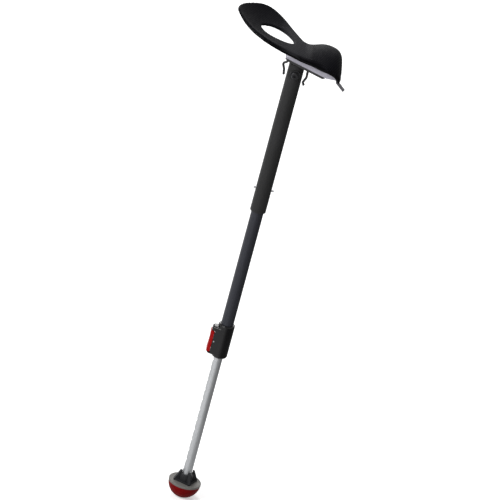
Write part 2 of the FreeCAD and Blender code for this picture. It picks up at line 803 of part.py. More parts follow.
# Coil along its own axis from zero to its free length, wound as quarter-turn arcs
def coil_shape():
    wire = value("spring_wire")
    radius = value("(spring_diameter - spring_wire) / 2")
    end_gap = value("seated_gap")
    length = value("rocker_inner - pocket_back") - 2 * end_gap
    quarters = int(round(4 * value("spring_turns")))
    rise = (length - wire) / quarters

    def point(quarter):
        angle = quarter * math.pi / 2
        return V(radius * math.cos(angle), radius * math.sin(angle), end_gap + wire / 2 + rise * quarter)

    arcs = [Part.Arc(point(n), point(n + 0.5), point(n + 1)).toShape() for n in range(quarters)]
    path = Part.Wire(arcs)
    start = arcs[0].tangentAt(arcs[0].FirstParameter)
    section = Part.Wire([Part.Circle(point(0), start, wire / 2).toShape()])
    print("latch_spring: gap between turns", round(4 * rise - wire, 2))
    return path.makePipeShell([section], True, False)


saddle_top = max(crown for forward, half, crown, side in saddle_sections)
plan_samples = 64


# Everything below the saddle's top face, with that face lowered by a drop
def under_saddle(drop):
    base = value(pan_base)
    sections = []
    for forward, half, crown, side in saddle_sections:
        left = V(forward, -half, base + side - drop)
        right = V(forward, half, base + side - drop)
        crest = V(forward, 0, base + crown - drop)
        low_left = V(forward, -half, 0)
        low_right = V(forward, half, 0)
        sections.append(Part.Wire([
            Part.Arc(left, crest, right).toShape(),
            Part.makeLine(right, low_right),
            Part.makeLine(low_right, low_left),
            Part.makeLine(low_left, left),
        ]))
    return Part.makeLoft(sections, True, False)


# The saddle's plan outline, drawn in by a margin, as an upright block
def plan_block(margin):
    far_side = [V(forward, half, 0) for forward, half in saddle_plan]
    near_side = [V(forward, -half, 0) for forward, half in reversed(saddle_plan[1:-1])]
    curve = Part.BSplineCurve()
    curve.interpolate(far_side + near_side, PeriodicFlag=True)
    if margin:
        inset = []
        for index in range(plan_samples):
            at = curve.FirstParameter + (curve.LastParameter - curve.FirstParameter) * index / plan_samples
            along = curve.tangent(at)[0]
            inset.append(curve.value(at) + V(along.y, -along.x, 0) * margin)
        curve = Part.BSplineCurve()
        curve.interpolate(inset, PeriodicFlag=True)
    face = Part.Face(Part.Wire([curve.toShape()]))
    return face.extrude(V(0, 0, value(pan_base) + saddle_top + value("pad_thickness")))


# The oval hole, widened by a margin, as an upright block
def hole_block(margin):
    long_half = value("hole_length / 2") + margin
    short_half = value("hole_width / 2") + margin
    oval = Part.Ellipse(V(value("hole_centre"), 0, 0), long_half, short_half)
    face = Part.Face(Part.Wire([oval.toShape()]))
    return face.extrude(V(0, 0, value(pan_base) + saddle_top + value("pad_thickness")))


# Padded skin, with its rim and the hole's edge rounded over
def build_seat_pad():
    skin = under_saddle(0).cut(under_saddle(value("pad_thickness")))
    skin = skin.common(plan_block(0)).cut(hole_block(0))
    top_face = max(skin.Faces, key=lambda face: face.CenterOfMass.z)
    pad = skin.makeFillet(value("pad_edge"), top_face.Edges)
    seat_node("seat_pad", solid_object("seat_pad_skin", pad.Solids[0]))


# Stiff shell under the pad, set in under the rear wings and round the hole, with four bosses down to
# the pan's floor
def build_seat_shell():
    top = value("pad_thickness + seated_gap")
    bottom = top + value("shell_thickness")
    overhang = value("pad_overhang")
    layer = under_saddle(top).cut(under_saddle(bottom))
    front = plan_block(overhang)
    reach = front.BoundBox.DiagonalLength
    wings = Part.makeBox(reach, 2 * reach, reach, V(value("wing_start") - reach, -reach, 0))
    outline = front.cut(wings).fuse(plan_block(value("wing_overhang")).common(wings)).removeSplitter()
    layer = layer.common(outline).cut(hole_block(value("hole_setback")))
    body = solid_object("seat_shell_layer", layer.Solids[0])
    room = solid_object("seat_shell_room", under_saddle(top + value("shell_thickness / 2")))
    floor_top = f"({pan_base} + pan_wall)"
    columns = []
    holes = []
    for index, (x, y) in enumerate(shell_screw_spots()):
        radius = "(shell_screw_diameter / 2)"
        at = (x, y, floor_top)
        columns.append(cylinder(f"shell_boss_{index}", f"{radius} + boss_wall", str(saddle_top), at))
        holes.append(cylinder(f"shell_boss_hole_{index}", f"{radius} + seated_gap", "shell_screw_grip", at))
    bosses = common("seat_shell_bosses", merge("seat_shell_columns", *columns), room)
    seat_node("seat_shell", cut("seat_shell_cut", merge("seat_shell_whole", body, bosses), *holes))


def shell_screw_spots():
    return [
        (f"shell_screw_centre + {end} * shell_screw_half_span", f"{side} * shell_screw_side")
        for end in (-1, 1)
        for side in (-1, 1)
    ]


def bracket_screw_spots():
    ends = ("-bracket_screw_rear", "plate_front - bracket_screw_inset")
    return [(end, f"{side} * bracket_screw_side") for end in ends for side in (-1, 1)]


# Grey tray between the bracket and the shell
def build_seat_pan():
    high = f"{pan_base} + {saddle_top}"
    outer = slab("pan_outside", [
        ("-pan_rear", pan_base),
        ("pan_front", pan_base),
        ("pan_nose", f"{pan_base} + pan_nose_rise"),
        ("pan_nose", high),
        ("-pan_rear + pan_rake", high),
        ("-pan_rear + pan_rake", f"{pan_base} + pan_rake"),
    ], "2 * pan_half")
    inner = slab("pan_inside", [
        ("pan_front", f"{pan_base} + pan_wall"),
        ("pan_nose - pan_wall", f"{pan_base} + pan_nose_rise + pan_wall"),
        ("pan_nose - pan_wall", high),
        ("-pan_rear + pan_wall + pan_rake", high),
        ("-pan_rear + pan_wall + pan_rake", f"{pan_base} + pan_rake"),
        ("-pan_rear + 2 * pan_wall", f"{pan_base} + pan_wall"),
    ], "2 * (pan_half - pan_wall)")
    clear = value("pad_thickness + seated_gap + shell_thickness + pan_joint")
    room = solid_object("pan_room", under_saddle(clear))
    tray = common("pan_tray", cut("pan_walls", outer, inner), room)
    bosses = []
    holes = []
    for index, (x, y) in enumerate(bracket_screw_spots()):
        radius = "(bracket_screw_diameter / 2)"
        at = (x, y, pan_base)
        height = "bracket_screw_grip + pan_wall"
        bosses.append(cylinder(f"pan_boss_{index}", f"{radius} + boss_wall", height, at))
        holes.append(cylinder(f"pan_boss_hole_{index}", f"{radius} + seated_gap", "bracket_screw_grip", at))
    for index, (x, y) in enumerate(shell_screw_spots()):
        at = (x, y, pan_base)
        shank = "shell_screw_diameter / 2 + screw_play"
        holes.append(cylinder(f"pan_screw_hole_{index}", shank, "pan_wall", at))
        head = "shell_screw_head / 2 + screw_play"
        holes.append(cylinder(f"pan_head_recess_{index}", head, "shell_screw_head_height", at))
    seat_node("seat_pan", cut("seat_pan_cut", merge("pan_whole", tray, *bosses), *holes))


# Bracket plate with the tongue that swings in the post's fork, and the bush in its eye
def build_seat_bracket():
    plate = doc.addObject("PartDesign::Body", "bracket_plate")
    sketch = corner_sketch(plate, "XY_Plane", [
        ("-plate_rear", "-plate_half"),
        ("plate_front", "-plate_half"),
        ("plate_front", "plate_half"),
        ("-plate_rear", "plate_half"),
    ])
    bind(sketch, "AttachmentOffset.Base.z", "plate_drop")
    pad = plate.newObject("PartDesign::Pad", "bracket_plate_pad")
    pad.Profile = sketch
    bind(pad, "Length", "plate_thickness")
    doc.recompute()
    upright = [
        f"Edge{index}"
        for index, edge in enumerate(pad.Shape.Edges, start=1)
        if abs(edge.tangentAt(edge.FirstParameter).z) > 0.9
    ]
    rounding = plate.newObject("PartDesign::Fillet", "bracket_plate_corners")
    rounding.Base = (pad, upright)
    bind(rounding, "Radius", "plate_corner")
    plate.Tip = rounding

    half = "(tongue_thickness / 2)"
    neck = box("tongue_neck", ("-tongue_half", f"-{half}", "0"), ("tongue_half", half, "plate_drop"))
    eye = cylinder("tongue_eye", "eye_diameter / 2", "tongue_thickness", ("0", f"-{half}", "0"), "y")
    lips = []
    for index, near in enumerate(("-plate_half", "plate_half - plate_lip_width")):
        lips.append(box(
            f"bracket_lip_{index}",
            ("-plate_rear + plate_corner", near, "plate_drop - plate_lip"),
            ("plate_front - plate_corner", f"{near} + plate_lip_width", "plate_drop"),
        ))
    whole = merge("bracket_whole", plate, neck, eye, *lips)
    bush_bore = f"({bolt_radius} + running_gap)"
    bush_outer = f"({bush_bore} + tilt_bush_wall)"
    at = ("0", f"-{half}", "0")
    holes = [cylinder("tongue_bore", f"{bush_outer} + seated_gap", "tongue_thickness", at, "y")]
    for index, (x, y) in enumerate(bracket_screw_spots()):
        radius = "bracket_screw_diameter / 2 + screw_play"
        holes.append(cylinder(f"plate_hole_{index}", radius, "plate_thickness", (x, y, "plate_drop")))
    seat_node("seat_bracket", cut("seat_bracket_cut", whole, *holes))

    sleeve = turned("tilt_bush_turned", [
        (bush_bore, f"-{half}"),
        (bush_outer, f"-{half}"),
        (bush_outer, half),
        (bush_bore, half),
    ], ("0", "0", pivot_height), "y")
    node("tilt_bush", sleeve)


def screw_set(label, spots, diameter, head, head_height, head_low, length):
    screws = []
    for index, (x, y) in enumerate(spots):
        screws.append(turned(f"{label}_{index}", [
            ("0", "0"),
            (f"{head} / 2", "0"),
            (f"{head} / 2", head_height),
            (f"{diameter} / 2", head_height),
            (f"{diameter} / 2", length),
            ("0", length),
        ], (x, y, head_low)))
    seat_node(label, group(label + "_set", screws))


def build_seat_screws():
    screw_set(
        "bracket_screws",
        bracket_screw_spots(),
        "bracket_screw_diameter",
        "bracket_screw_head",
        "bracket_screw_head_height",
        "plate_drop - bracket_screw_head_height",
        "bracket_screw_head_height + plate_thickness + bracket_screw_grip - hidden_recess",
    )
    screw_set(
        "shell_screws",
        shell_screw_spots(),
        "shell_screw_diameter",
        "shell_screw_head",
        "shell_screw_head_height",
        pan_base,
        "pan_wall + shell_screw_grip - hidden_recess",
    )


# Straight runs joined by tangent arcs of one radius
def bent_path(points, radius):
    edges = []
    start = points[0]
    for before, corner, after in zip(points, points[1:], points[2:]):
        inward = (before - corner).normalize()
        outward = (after - corner).normalize()
        turn = math.pi - inward.getAngle(outward)
        back = radius * math.tan(turn / 2)
        first = corner + inward * back
        last = corner + outward * back
        middle = (inward + outward).normalize()
        depth = radius / math.cos(turn / 2) - radius
        edges.append(Part.makeLine(start, first))
        edges.append(Part.Arc(first, corner + middle * depth, last).toShape())
        start = last
    edges.append(Part.makeLine(start, points[-1]))
    return Part.Wire(edges)


# Two wire hooks under the plate's near lip, one in front of the post and one behind
def build_hooks():
    across = -value("hook_side")
    for label, line in hook_lines.items():
        top = V(line[0][0], across, value("plate_drop - plate_lip"))
        points = [top] + [V(forward, across, rise) for forward, rise in line]
        path = bent_path(points, value("hook_bend"))
        section = Part.Wire([Part.Circle(top, V(0, 0, -1), value("hook_wire / 2")).toShape()])
        seat_node(label, solid_object(label + "_wire", path.makePipeShell([section], True, False)))


# Narrow strap under the near front corner of the shell, bent outward past the rim
def build_pull_tab():
    underside = under_saddle(value("pad_thickness + seated_gap + shell_thickness"))
    ends = []
    for name in ("tab_start", "tab_edge"):
        foot = V(value(name), -value("tab_side + tab_width / 2"), 0)
        reach = V(0, 0, value(pan_base) + saddle_top)
        ends.append(foot + V(0, 0, underside.common(Part.makeLine(foot, foot + reach)).BoundBox.ZMax))
    along = (ends[1] - ends[0]).normalize()
    slope = math.radians(value("tab_slope"))
    free = V(math.cos(slope), 0, -math.sin(slope))
    below = V(along.z, 0, -along.x)
    free_below = V(free.z, 0, -free.x)
    side = V(0, value("tab_width / 2"), 0)
    thickness = value("tab_thickness")
    inner = ends[0] + below * value("tab_gap")
    bend = ends[1] + below * value("tab_gap")
    tip = bend + free * value("tab_reach")
    split = (below + free_below).normalize()
    mitre = split * (thickness / split.dot(below))
    under = [tip + free_below * thickness, bend + mitre, inner + below * thickness]
    strap = Part.Face(Part.makePolygon([inner, bend, tip] + under + [inner])).extrude(side * 2)
    seat_node("pull_tab", solid_object("pull_tab_strap", strap))


build_upper_tube()
build_post_head()
build_pivot_bolt()
build_sleeves()
build_middle_tube()
build_lower_tube()
build_foot()
build_latch()
build_seat_pad()
build_seat_shell()
build_seat_pan()
build_seat_bracket()
build_seat_screws()
build_hooks()
build_pull_tab()

doc.recompute()

# Nothing is written unless every object and every piece is sound
failed = [item.Label for item in doc.Objects if "Invalid" in item.State or "Error" in item.State]
if failed:
    raise RuntimeError("failed objects: " + ", ".join(failed))
for label, thing in nodes.items():
    if thing.Shape.isNull() or not thing.Shape.isValid() or not thing.Shape.Solids:
        raise RuntimeError("unsound piece: " + label)

os.makedirs("parts", exist_ok=True)
for label, thing in nodes.items():
    thing.Shape.exportStep(f"parts/{label}.step")
print(len(nodes), "pieces written")
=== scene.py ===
import bpy
import math
from mathutils import Matrix, Vector


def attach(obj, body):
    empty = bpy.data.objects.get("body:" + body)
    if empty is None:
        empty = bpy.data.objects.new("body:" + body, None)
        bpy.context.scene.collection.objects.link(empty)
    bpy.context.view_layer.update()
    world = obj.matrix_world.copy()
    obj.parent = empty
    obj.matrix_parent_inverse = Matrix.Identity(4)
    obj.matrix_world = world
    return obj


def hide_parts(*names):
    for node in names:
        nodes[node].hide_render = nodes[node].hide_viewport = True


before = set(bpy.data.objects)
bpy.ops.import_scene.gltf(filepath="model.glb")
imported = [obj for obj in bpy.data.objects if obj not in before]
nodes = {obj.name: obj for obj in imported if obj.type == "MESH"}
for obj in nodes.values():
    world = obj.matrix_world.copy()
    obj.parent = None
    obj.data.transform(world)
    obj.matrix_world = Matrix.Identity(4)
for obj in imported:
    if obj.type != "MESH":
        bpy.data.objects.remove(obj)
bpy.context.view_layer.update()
scene = bpy.context.scene
scene.view_settings.view_transform = "Standard"
print("frame loaded:", len(nodes), "pieces")


def hexColour(text):  # sRGB hex to linear
    shades = [int(text[n:n + 2], 16) / 255 for n in (1, 3, 5)]
    return tuple(s / 12.92 if s <= 0.04045 else ((s + 0.055) / 1.055) ** 2.4 for s in shades) + (1.0,)


def addNode(tree, kind, inputs=None, **settings):  # values and sockets go in by input name or number
    node = tree.nodes.new(kind)
    for name, setting in settings.items():
        setattr(node, name, setting)
    for name, value in (inputs or {}).items():
        if isinstance(value, bpy.types.NodeSocket):
            tree.links.new(value, node.inputs[name])
        else:
            node.inputs[name].default_value = value
    return node


def newMaterial(name, **values):
    material = bpy.data.materials.new(name)
    material.use_nodes = True
    tree = material.node_tree
    shader = tree.nodes["Principled BSDF"]
    for socket, value in values.items():
        shader.inputs[socket.replace("_", " ")].default_value = value
    return material, tree, shader


def rampTo(tree, factor, shader, socket, stops):  # a value from 0 to 1 drives a colour or a grey between two stops
    ramp = addNode(tree, "ShaderNodeValToRGB", {"Fac": factor})
    for element, (place, colour) in zip(ramp.color_ramp.elements, stops):
        element.position = place
        element.color = colour
    tree.links.new(ramp.outputs["Color"], shader.inputs[socket])
    return ramp


def grey(amount):
    return (amount, amount, amount, 1.0)


def perMetre(sizeMm):  # a texture's scale from the real size of its pattern
    return 1000 / sizeMm


def addNoise(tree, place, sizeMm, detail):
    inputs = {"Vector": place, "Scale": perMetre(sizeMm), "Detail": detail}
    return addNode(tree, "ShaderNodeTexNoise", inputs).outputs[0]


def addBump(tree, shader, height, strength, depth):
    bump = addNode(tree, "ShaderNodeBump", {"Height": height, "Strength": strength, "Distance": depth})
    tree.links.new(bump.outputs[0], shader.inputs["Normal"])


def pickOnly(thing):
    bpy.ops.object.select_all(action="DESELECT")
    thing.select_set(True)
    bpy.context.view_layer.objects.active = thing


# Camera at the photo's angle: a very long lens, rolled so that the leg leans as it does there
photoCamera = {
    "azimuth": -3.8284,
    "elevation": 25.4488,
    "roll": 15.1055,
    "lookAt": (0.0, 0.0, 0.49062),
    "sideways": 0.00487,
    "frameWidth": 0.86672,
    "lens": 1400.0,
}


def makeCamera(look):
    turn, lift, roll = (math.radians(look[key]) for key in ("azimuth", "elevation", "roll"))
    level = Vector((math.cos(turn), math.sin(turn), 0))
    back = Vector((math.sin(turn) * math.cos(lift), -math.cos(turn) * math.cos(lift), math.sin(lift)))
    upright = back.cross(level)
    right = level * math.cos(roll) + upright * math.sin(roll)
    up = upright * math.cos(roll) - level * math.sin(roll)
    bpy.ops.object.camera_add()
    camera = bpy.context.object
    camera.data.lens = look["lens"]
    distance = look["frameWidth"] * look["lens"] / camera.data.sensor_width
    spot = Vector(look["lookAt"]) + right * look["sideways"] + back * distance
    camera.matrix_world = Matrix((
        (right.x, up.x, back.x, spot.x),
        (right.y, up.y, back.y, spot.y),
        (right.z, up.z, back.z, spot.z),
        (0, 0, 0, 1),
    ))
    camera.data.clip_end = 4 * distance
    scene.camera = camera
    print("camera", round(distance, 2), "m away")


makeCamera(photoCamera)


# Soft boxes: the main one on the left, a weak one on the right, one overhead and one low behind
softBoxes = {
    "keyBox": {"at": (-2.3, -2.3, 2.4), "aim": (0, 0, 0.5), "size": 1.3, "power": 132.0},
    "fillBox": {"at": (2.4, -2.2, 1.6), "aim": (0, 0, 0.5), "size": 2.0, "power": 8.0},
    "topBox": {"at": (-0.5, 0.9, 3.0), "aim": (0, 0, 0.6), "size": 0.9, "power": 34.0},
    "rimBox": {"at": (-0.25, 2.7, 1.65), "aim": (0, 0, 0.4), "size": 1.0, "power": 23.0},
}
studio = {"ambient": 0.22, "floorSize": 40.0, "floorColour": "#e9e9e9", "floorRough": 0.9, "floorGlow": 0.45}
# Grey card to the right of the stool, which only shiny pieces see: it gives the tubes their dark right side,
# and fades out on its left so that no edge is mirrored
darkCard = {
    "start": -0.2,
    "fade": 0.5,
    "reach": 3.3,
    "depth": 6.0,
    "level": 0.002,
    "colour": "#707070",
    "leftEdge": -0.5,  # in the card's own coordinates
}

for name, look in softBoxes.items():
    bpy.ops.object.light_add(type="AREA", location=look["at"])
    lamp = bpy.context.object
    lamp.name = name
    aim = Vector(look["aim"]) - Vector(look["at"])
    lamp.rotation_mode = "QUATERNION"
    lamp.rotation_quaternion = aim.to_track_quat("-Z", "Y")
    lamp.data.shape = "SQUARE"
    lamp.data.size = look["size"]
    lamp.data.energy = look["power"]


def seenRays(tree):  # 1 for what the camera, mirrors and clear pieces see
    path = addNode(tree, "ShaderNodeLightPath")
    shiny = addNode(tree, "ShaderNodeMath", {
        0: path.outputs["Is Glossy Ray"],
        1: path.outputs["Is Transmission Ray"],
    }, operation="MAXIMUM")
    seen = addNode(tree, "ShaderNodeMath", {
        0: path.outputs["Is Camera Ray"],
        1: shiny.outputs[0],
    }, operation="MAXIMUM")
    return seen.outputs[0]


world = bpy.data.worlds.new("whiteStudio")
world.use_nodes = True
scene.world = world
skyTree = world.node_tree
skyTree.nodes.clear()
ambient = addNode(skyTree, "ShaderNodeBackground", {"Color": grey(1.0), "Strength": studio["ambient"]})
white = addNode(skyTree, "ShaderNodeBackground", {"Color": grey(1.0), "Strength": 1.0})
sky = addNode(skyTree, "ShaderNodeMixShader", {
    0: seenRays(skyTree),
    1: ambient.outputs[0],
    2: white.outputs[0],
})
addNode(skyTree, "ShaderNodeOutputWorld", {"Surface": sky.outputs[0]})

bpy.ops.mesh.primitive_plane_add(size=studio["floorSize"])
floor = bpy.context.object
floor.name = "studioFloor"
paper, paperTree, paperShader = newMaterial(
    "whitePaper", Base_Color=hexColour(studio["floorColour"]), Roughness=studio["floorRough"])
glow = addNode(paperTree, "ShaderNodeEmission", {"Color": grey(1.0), "Strength": studio["floorGlow"]})
lit = addNode(paperTree, "ShaderNodeAddShader", {0: glow.outputs[0], 1: paperShader.outputs[0]})
paperMix = addNode(paperTree, "ShaderNodeMixShader", {
    0: seenRays(paperTree),
    1: paperShader.outputs[0],
    2: lit.outputs[0],
})
paperTree.links.new(paperMix.outputs[0], paperTree.nodes["Material Output"].inputs["Surface"])
floor.data.materials.append(paper)

cardMiddle = darkCard["start"] + darkCard["reach"] / 2
bpy.ops.mesh.primitive_plane_add(size=1.0, location=(cardMiddle, 0, darkCard["level"]))
card = bpy.context.object
card.name = "darkCard"
card.scale = (darkCard["reach"], darkCard["depth"], 1.0)
felt, feltTree, feltShader = newMaterial("greyFelt", Base_Color=hexColour(darkCard["colour"]), Roughness=1.0)
feltPlace = addNode(feltTree, "ShaderNodeTexCoord").outputs["Object"]
across = addNode(feltTree, "ShaderNodeSeparateXYZ", {0: feltPlace})
fade = addNode(feltTree, "ShaderNodeMapRange", {
    "Value": across.outputs["X"],
    "From Min": darkCard["leftEdge"],
    "From Max": darkCard["leftEdge"] + darkCard["fade"] / darkCard["reach"],
})
clear = addNode(feltTree, "ShaderNodeBsdfTransparent")
feltMix = addNode(feltTree, "ShaderNodeMixShader", {
    0: fade.outputs[0],
    1: clear.outputs[0],
    2: feltShader.outputs[0],
})
feltTree.links.new(feltMix.outputs[0], feltTree.nodes["Material Output"].inputs["Surface"])
card.data.materials.append(felt)
card.visible_camera = False
card.visible_diffuse = False
card.visible_shadow = False
print("studio ready")


# Powder coat on steel tube: satin black with a faint orange peel
powderCoat = {
    "colour": "#242424",
    "worn": "#2a2a2b",
    "patchMm": 60.0,
    "peelMm": 1.8,
    "peel": 0.12,
    "peelDepth": 0.0004,
    "rough": 0.45,
    "shine": 0.09,
}


def makePowderCoat(look):
    material, tree, shader = newMaterial(
        "satinBlackPowderCoat", Roughness=look["rough"], Specular_IOR_Level=look["shine"])
    place = addNode(tree, "ShaderNodeTexCoord").outputs["Object"]
    patches = addNoise(tree, place, look["patchMm"], 4.0)
    rampTo(tree, patches, shader, "Base Color", [
        (0.3, hexColour(look["colour"])),
        (0.8, hexColour(look["worn"])),
    ])
    peel = addNoise(tree, place, look["peelMm"], 2.0)
    addBump(tree, shader, peel, look["peel"], look["peelDepth"])
    return material


# Hard-anodised aluminium tube: blue-black, drawn lines along the tube
hardAnodised = {
    "colour": "#292a2f",
    "line": "#303137",
    "lineMm": 0.9,
    "runMm": 90.0,
    "rough": 0.42,
    "shine": 0.14,
    "metallic": 0.2,
}
# Clear-anodised aluminium tube: satin silver, the same drawn lines
clearAnodised = {
    "colour": "#9d9fa1",
    "line": "#acadaf",
    "lineMm": 0.9,
    "runMm": 70.0,
    "rough": 0.5,
    "shine": 0.5,
    "metallic": 1.0,
}
# The lines of both tubes
drawnLines = {"bump": 0.05, "depth": 0.0003, "roughDrift": 0.05}


def makeAnodised(name, look):
    material, tree, shader = newMaterial(name, Metallic=look["metallic"], Specular_IOR_Level=look["shine"])
    place = addNode(tree, "ShaderNodeTexCoord").outputs["Object"]
    stretch = addNode(tree, "ShaderNodeMapping", {
        "Vector": place,
        "Scale": (perMetre(look["lineMm"]), perMetre(look["lineMm"]), perMetre(look["runMm"])),
    })
    lines = addNode(tree, "ShaderNodeTexNoise", {"Vector": stretch.outputs[0], "Scale": 1.0, "Detail": 3.0})
    rampTo(tree, lines.outputs[0], shader, "Base Color", [
        (0.35, hexColour(look["colour"])),
        (0.7, hexColour(look["line"])),
    ])
    rampTo(tree, lines.outputs[0], shader, "Roughness", [
        (0.3, grey(look["rough"] - drawnLines["roughDrift"])),
        (0.7, grey(look["rough"] + drawnLines["roughDrift"])),
    ])
    addBump(tree, shader, lines.outputs[0], drawnLines["bump"], drawnLines["depth"])
    return material


# Moulded plastics and rubbers: a tint that drifts a little, fine handling marks in the gloss
mouldings = {
    "glossBlackAbs": {
        "colour": "#0c0c0d", "drift": "#121213", "rough": 0.16,
        "grainMm": 3.0, "grain": 0.03, "shine": 0.22,
    },
    "redAbs": {
        "colour": "#8c0d0e", "drift": "#9a1213", "rough": 0.36,
        "grainMm": 1.6, "grain": 0.06, "shine": 0.06,
    },
    "redRubber": {
        "colour": "#690608", "drift": "#5c0506", "rough": 0.42,
        "grainMm": 1.8, "grain": 0.10, "shine": 0.03,
    },
    "greyNylonPlate": {
        "colour": "#605e5b", "drift": "#6c6a67", "rough": 0.48,
        "grainMm": 1.8, "grain": 0.12, "shine": 0.15,
    },
    "paleGreyAbs": {
        "colour": "#97959f", "drift": "#a2a0aa", "rough": 0.45,
        "grainMm": 1.8, "grain": 0.10, "shine": 0.2,
    },
    "blackNylon": {
        "colour": "#232325", "drift": "#2c2c2e", "rough": 0.46,
        "grainMm": 1.6, "grain": 0.14, "shine": 0.15,
    },
    "blackPolypropylene": {
        "colour": "#0b0b0c", "drift": "#121213", "rough": 0.5,
        "grainMm": 1.6, "grain": 0.16, "shine": 0.03,
    },
    "greyRubber": {
        "colour": "#4c4b4f", "drift": "#5d5c61", "rough": 0.5,
        "grainMm": 1.6, "grain": 0.12, "shine": 0.2,
    },
    "naturalAcetal": {
        "colour": "#dedcd4", "drift": "#e6e4dc", "rough": 0.35,
        "grainMm": 2.0, "grain": 0.05, "shine": 0.3,
    },
}
mouldedSkin = {"driftMm": 25.0, "marksMm": 6.0, "marksRough": 0.12, "grainDepth": 0.0004}


def makeMoulding(name, look):
    material, tree, shader = newMaterial(name, Specular_IOR_Level=look["shine"])
    place = addNode(tree, "ShaderNodeTexCoord").outputs["Object"]
    drift = addNoise(tree, place, mouldedSkin["driftMm"], 5.0)
    rampTo(tree, drift, shader, "Base Color", [
        (0.35, hexColour(look["colour"])),
        (0.75, hexColour(look["drift"])),
    ])
    marks = addNoise(tree, place, mouldedSkin["marksMm"], 6.0)
    rampTo(tree, marks, shader, "Roughness", [
        (0.3, grey(look["rough"])),
        (0.8, grey(look["rough"] + mouldedSkin["marksRough"])),
    ])
    grain = addNoise(tree, place, look["grainMm"], 3.0)
    addBump(tree, shader, grain, look["grain"], mouldedSkin["grainDepth"])
    return material


# Steel pieces: bright zinc, black oxide and black paint, with a crystalline or brushed mottle
steels = {
    "brightZinc": {"colour": "#b4b4b6", "mottle": "#8f8f92", "rough": 0.3, "metallic": 1.0, "mottleMm": 2.5},
    "blackOxide": {"colour": "#262628", "mottle": "#17171a", "rough": 0.36, "metallic": 0.6, "mottleMm": 2.5},
    "blackEnamel": {"colour": "#141415", "mottle": "#1c1c1d", "rough": 0.4, "metallic": 0.0, "mottleMm": 4.0},
}
handledSteel = {"wearMm": 3.0, "wearRough": 0.15}


def makeSteel(name, look):
    material, tree, shader = newMaterial(name, Metallic=look["metallic"])
    place = addNode(tree, "ShaderNodeTexCoord").outputs["Object"]
    mottle = addNode(tree, "ShaderNodeTexVoronoi", {"Vector": place, "Scale": perMetre(look["mottleMm"])})
    rampTo(tree, mottle.outputs["Distance"], shader, "Base Color", [
        (0.2, hexColour(look["colour"])),
        (0.9, hexColour(look["mottle"])),
    ])
    wear = addNoise(tree, place, handledSteel["wearMm"], 5.0)
    rampTo(tree, wear, shader, "Roughness", [
        (0.3, grey(look["rough"])),
        (0.8, grey(look["rough"] + handledSteel["wearRough"])),
    ])
    return material


saddlePitch = 15.0  # degrees that the rear end is up

# Self-skinned foam of the saddle: satin black, moulded with crossed ribs, drawn coarse so that they show,
# with a painted highlight, greyer, across the waist, and painted shade, plain and near-black, in the scoops beside
# the waist
saddleSkin = {
    "colour": "#08080a",
    "rib": "#17171c",
    # painted shade: near-black colour in the scoops beside the waist
    "paintedScoopShade": "#030304",
    # painted highlight: a greyer colour across the waist that stands in for light caught there
    "paintedWaistSheen": "#2f2f32",
    "waistAt": (-0.012, 0.0, 0.895),
    "waistSize": (0.034, 1.0, 0.034),  # all the way across
    "ribMm": 3.2,
    "ribTurn": 20.0,
    "ribDepth": 0.0006,
    "rubbedMm": 45.0,
    "rough": 0.61,
    "rubbedRough": 0.51,
    "scoopRough": 0.85,
    "grain": 0.4,
    "shine": 0.02,
}


def makeSaddleSkin(look):
    material, tree, shader = newMaterial("ribbedFoamSkin", Specular_IOR_Level=look["shine"])
    place = addNode(tree, "ShaderNodeTexCoord").outputs["Object"]
    along = addNode(tree, "ShaderNodeMapping", {
        "Vector": place,
        "Rotation": (0, math.radians(-saddlePitch), math.radians(look["ribTurn"])),
    }).outputs[0]
    waves = 2 * math.pi * perMetre(look["ribMm"]) / 20  # a wave's phase is 20 times its scale
    ribs = [
        addNode(tree, "ShaderNodeTexWave", {"Vector": along, "Scale": waves}, bands_direction=side)
        for side in ("X", "Y")
    ]
    crossed = addNode(tree, "ShaderNodeMath", {
        0: ribs[0].outputs["Fac"],
        1: ribs[1].outputs["Fac"],
    }, operation="MULTIPLY").outputs[0]
    ribbed = rampTo(tree, crossed, shader, "Base Color", [
        (0.1, hexColour(look["colour"])),
        (0.9, hexColour(look["rib"])),
    ])
    rubbed = addNoise(tree, place, look["rubbedMm"], 4.0)
    worn = rampTo(tree, rubbed, shader, "Roughness", [
        (0.3, grey(look["rough"])),
        (0.8, grey(look["rubbedRough"])),
    ])
    waist = addNode(tree, "ShaderNodeMapping", {
        "Vector": place,
        "Location": look["waistAt"],
        "Scale": look["waistSize"],
    }, vector_type="TEXTURE")
    around = addNode(tree, "ShaderNodeTexGradient", {"Vector": waist.outputs[0]}, gradient_type="SPHERICAL")
    # painted highlight mask: strongest at the middle of the waist, and more on the ribs
    waistSheenMask = addNode(tree, "ShaderNodeMath", {
        0: around.outputs["Fac"],
        1: crossed,
        2: around.outputs["Fac"],
    }, operation="MULTIPLY_ADD")
    # lays the painted highlight over the ribbed colour
    paintedWaistSheen = addNode(tree, "ShaderNodeMixRGB", {
        "Fac": waistSheenMask.outputs[0],
        "Color1": ribbed.outputs["Color"],
        "Color2": hexColour(look["paintedWaistSheen"]),
    }, use_clamp=True)
    # painted shade in the scoops, by the mask stored on the pad from how deep each point is pressed
    paintedScoopShade = addNode(tree, "ShaderNodeAttribute", attribute_name="paintedScoopShade").outputs["Fac"]
    for source, socket, inside in (
        (paintedWaistSheen, "Base Color", hexColour(look["paintedScoopShade"])),
        (worn, "Roughness", grey(look["scoopRough"])),
    ):
        mixed = addNode(tree, "ShaderNodeMixRGB", {
            "Fac": paintedScoopShade,
            "Color1": source.outputs["Color"],
            "Color2": inside,
        })
        tree.links.new(mixed.outputs["Color"], shader.inputs[socket])
    addBump(tree, shader, crossed, look["grain"], look["ribDepth"])
    return material


finishes = {
    "powder": makePowderCoat(powderCoat),
    "blueBlack": makeAnodised("hardAnodisedTube", hardAnodised),
    "silver": makeAnodised("clearAnodisedTube", clearAnodised),
    "skin": makeSaddleSkin(saddleSkin),
}
for name, look in mouldings.items():
    finishes[name] = makeMoulding(name, look)
for name, look in steels.items():
    finishes[name] = makeSteel(name, look)

